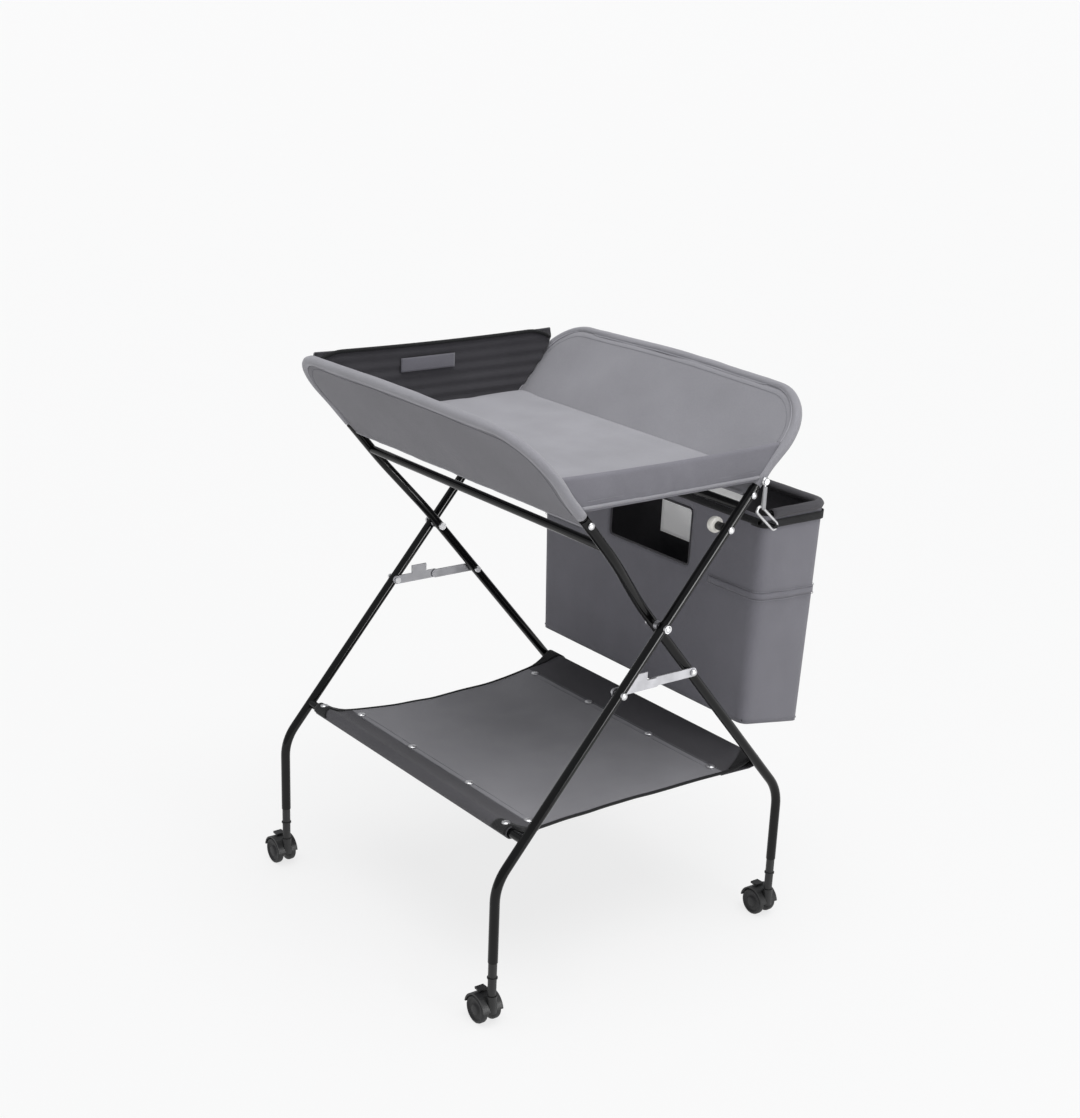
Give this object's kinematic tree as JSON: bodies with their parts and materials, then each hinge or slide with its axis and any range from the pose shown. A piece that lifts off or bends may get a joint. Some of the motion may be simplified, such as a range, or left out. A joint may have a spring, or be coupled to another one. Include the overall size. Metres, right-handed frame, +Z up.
{
  "type": "folding changing table",
  "caption": "Folding changing table: crossed tube frames on casters carry a fabric trough tray, a sling shelf and a rear hamper.",
  "frame": {"origin": "on the floor, midway between the four feet", "axes": "+X along the tray towards its low end, +Y towards the hamper at the back, +Z up"},
  "size_m": [0.7047, 0.6835, 0.9453],
  "materials": {
    "black_tube": "semi-gloss black powder coat",
    "hoop_tube": "satin",
    "bright_hardware": "bright",
    "zinc_steel": "zinc plated",
    "cream_plastic": "gloss",
    "black_plastic": "satin",
    "wheel_plastic": "satin",
    "axle_steel": "plain",
    "grey_fabric": "woven polyester",
    "charcoal_fabric": "woven polyester",
    "pad_cover": "quilted padded cloth",
    "dark_grey_fabric": "heavy woven polyester",
    "board": "stiff sheet",
    "pale_panel": "light cloth"
  },
  "bodies": {
    "outer_frame": {"outer_leg_left": "black_tube", "outer_leg_right": "black_tube", "outer_upper_bar": "black_tube", "outer_shelf_bar": "black_tube", "outer_hoop": "hoop_tube", "outer_hoop_rivets": "bright_hardware", "outer_ferrules": "black_plastic", "pivot_bolts": "bright_hardware", "pivot_spacers": "zinc_steel", "outer_brace_pins": "bright_hardware", "hamper_knobs": "cream_plastic", "knob_screws": "bright_hardware", "link_pins": "bright_hardware", "back_wall": "grey_fabric", "back_rim_sleeve": "grey_fabric", "tray_floor": "grey_fabric", "changing_pad": "pad_cover", "low_end_panel": "grey_fabric", "high_end_panel": "charcoal_fabric", "end_label": "grey_fabric", "shelf_sling": "dark_grey_fabric", "front_shelf_snaps": "bright_hardware"},
    "inner_frame": {"inner_leg_left": "black_tube", "inner_leg_right": "black_tube", "inner_upper_bar": "black_tube", "inner_shelf_bar": "black_tube", "inner_hoop": "hoop_tube", "inner_hoop_rivets": "bright_hardware", "inner_ferrules": "black_plastic", "inner_brace_pins": "bright_hardware", "front_wall": "grey_fabric", "front_rim_sleeve": "grey_fabric", "back_shelf_snaps": "bright_hardware"},
    "outer_brace_link_left": {"outer_brace_left": "zinc_steel"},
    "outer_brace_link_right": {"outer_brace_right": "zinc_steel"},
    "inner_brace_link_left": {"inner_brace_left": "zinc_steel"},
    "inner_brace_link_right": {"inner_brace_right": "zinc_steel"},
    "hamper": {"hamper_bag": "dark_grey_fabric", "hamper_front_rod": "black_tube", "hamper_rim_rod": "black_tube", "hamper_base_board": "board", "hamper_back_panel": "pale_panel", "hanging_link_left": "zinc_steel", "hanging_link_right": "zinc_steel"},
    "caster_outer_left": {"caster_outer_left_fork": "black_plastic"},
    "caster_outer_left_roller": {"caster_outer_left_axle": "axle_steel", "caster_outer_left_wheels": "wheel_plastic"},
    "caster_outer_left_brake": {"caster_outer_left_brake": "black_plastic"},
    "caster_outer_right": {"caster_outer_right_fork": "black_plastic"},
    "caster_outer_right_roller": {"caster_outer_right_axle": "axle_steel", "caster_outer_right_wheels": "wheel_plastic"},
    "caster_outer_right_brake": {"caster_outer_right_brake": "black_plastic"},
    "caster_inner_left": {"caster_inner_left_fork": "black_plastic"},
    "caster_inner_left_roller": {"caster_inner_left_axle": "axle_steel", "caster_inner_left_wheels": "wheel_plastic"},
    "caster_inner_left_brake": {"caster_inner_left_brake": "black_plastic"},
    "caster_inner_right": {"caster_inner_right_fork": "black_plastic"},
    "caster_inner_right_roller": {"caster_inner_right_axle": "axle_steel", "caster_inner_right_wheels": "wheel_plastic"},
    "caster_inner_right_brake": {"caster_inner_right_brake": "black_plastic"}
  },
  "joints": [
    {"name": "frame_fold", "type": "hinge", "parent": "outer_frame", "child": "inner_frame", "pos_m": [0, 0, 0.60168], "axis": [-1, 0, 0], "range_deg": [0, 45], "deforming": ["tray_floor", "changing_pad", "low_end_panel", "high_end_panel", "end_label", "shelf_sling"]},
    {"name": "outer_brace_hinge_left", "type": "hinge", "parent": "outer_frame", "child": "outer_brace_link_left", "pos_m": [-0.31, -0.07937, 0.50798], "axis": [1, 0, 0], "range_deg": [0, 39.53]},
    {"name": "inner_brace_hinge_left", "type": "hinge", "parent": "inner_frame", "child": "inner_brace_link_left", "pos_m": [-0.31, 0.07937, 0.50798], "axis": [-1, 0, 0], "range_deg": [0, 39.53]},
    {"name": "outer_brace_hinge_right", "type": "hinge", "parent": "outer_frame", "child": "outer_brace_link_right", "pos_m": [0.31, -0.07937, 0.50798], "axis": [1, 0, 0], "range_deg": [0, 39.53]},
    {"name": "inner_brace_hinge_right", "type": "hinge", "parent": "inner_frame", "child": "inner_brace_link_right", "pos_m": [0.31, 0.07937, 0.50798], "axis": [-1, 0, 0], "range_deg": [0, 39.53]},
    {"name": "hamper_swing", "type": "hinge", "parent": "outer_frame", "child": "hamper", "pos_m": [0, 0.17834, 0.81221], "axis": [1, 0, 0], "range_deg": [0, 25]},
    {"name": "swivel_outer_left", "type": "hinge", "parent": "outer_frame", "child": "caster_outer_left", "pos_m": [-0.32, -0.303, 0.06], "axis": [0, 0, 1], "continuous": true},
    {"name": "roll_outer_left", "type": "hinge", "parent": "caster_outer_left", "child": "caster_outer_left_roller", "pos_m": [-0.34, -0.303, 0.023], "axis": [0, 1, 0], "continuous": true},
    {"name": "brake_outer_left", "type": "hinge", "parent": "caster_outer_left", "child": "caster_outer_left_brake", "pos_m": [-0.34, -0.303, 0.0504], "axis": [0, -1, 0], "range_deg": [0, 8]},
    {"name": "swivel_outer_right", "type": "hinge", "parent": "outer_frame", "child": "caster_outer_right", "pos_m": [0.32, -0.303, 0.06], "axis": [0, 0, 1], "continuous": true},
    {"name": "roll_outer_right", "type": "hinge", "parent": "caster_outer_right", "child": "caster_outer_right_roller", "pos_m": [0.3, -0.303, 0.023], "axis": [0, 1, 0], "continuous": true},
    {"name": "brake_outer_right", "type": "hinge", "parent": "caster_outer_right", "child": "caster_outer_right_brake", "pos_m": [0.3, -0.303, 0.0504], "axis": [0, -1, 0], "range_deg": [0, 8]},
    {"name": "swivel_inner_left", "type": "hinge", "parent": "inner_frame", "child": "caster_inner_left", "pos_m": [-0.296, 0.303, 0.06], "axis": [0, 0, 1], "continuous": true},
    {"name": "roll_inner_left", "type": "hinge", "parent": "caster_inner_left", "child": "caster_inner_left_roller", "pos_m": [-0.316, 0.303, 0.023], "axis": [0, 1, 0], "continuous": true},
    {"name": "brake_inner_left", "type": "hinge", "parent": "caster_inner_left", "child": "caster_inner_left_brake", "pos_m": [-0.316, 0.303, 0.0504], "axis": [0, -1, 0], "range_deg": [0, 8]},
    {"name": "swivel_inner_right", "type": "hinge", "parent": "inner_frame", "child": "caster_inner_right", "pos_m": [0.296, 0.303, 0.06], "axis": [0, 0, 1], "continuous": true},
    {"name": "roll_inner_right", "type": "hinge", "parent": "caster_inner_right", "child": "caster_inner_right_roller", "pos_m": [0.276, 0.303, 0.023], "axis": [0, 1, 0], "continuous": true},
    {"name": "brake_inner_right", "type": "hinge", "parent": "caster_inner_right", "child": "caster_inner_right_brake", "pos_m": [0.276, 0.303, 0.0504], "axis": [0, -1, 0], "range_deg": [0, 8]}
  ],
  "couplings": [
    {"joint": "outer_brace_hinge_left", "follows": "frame_fold", "ratio": 0.8739},
    {"joint": "outer_brace_hinge_right", "follows": "frame_fold", "ratio": 0.8739},
    {"joint": "inner_brace_hinge_left", "follows": "frame_fold", "ratio": 0.8739},
    {"joint": "inner_brace_hinge_right", "follows": "frame_fold", "ratio": 0.8739}
  ]
}
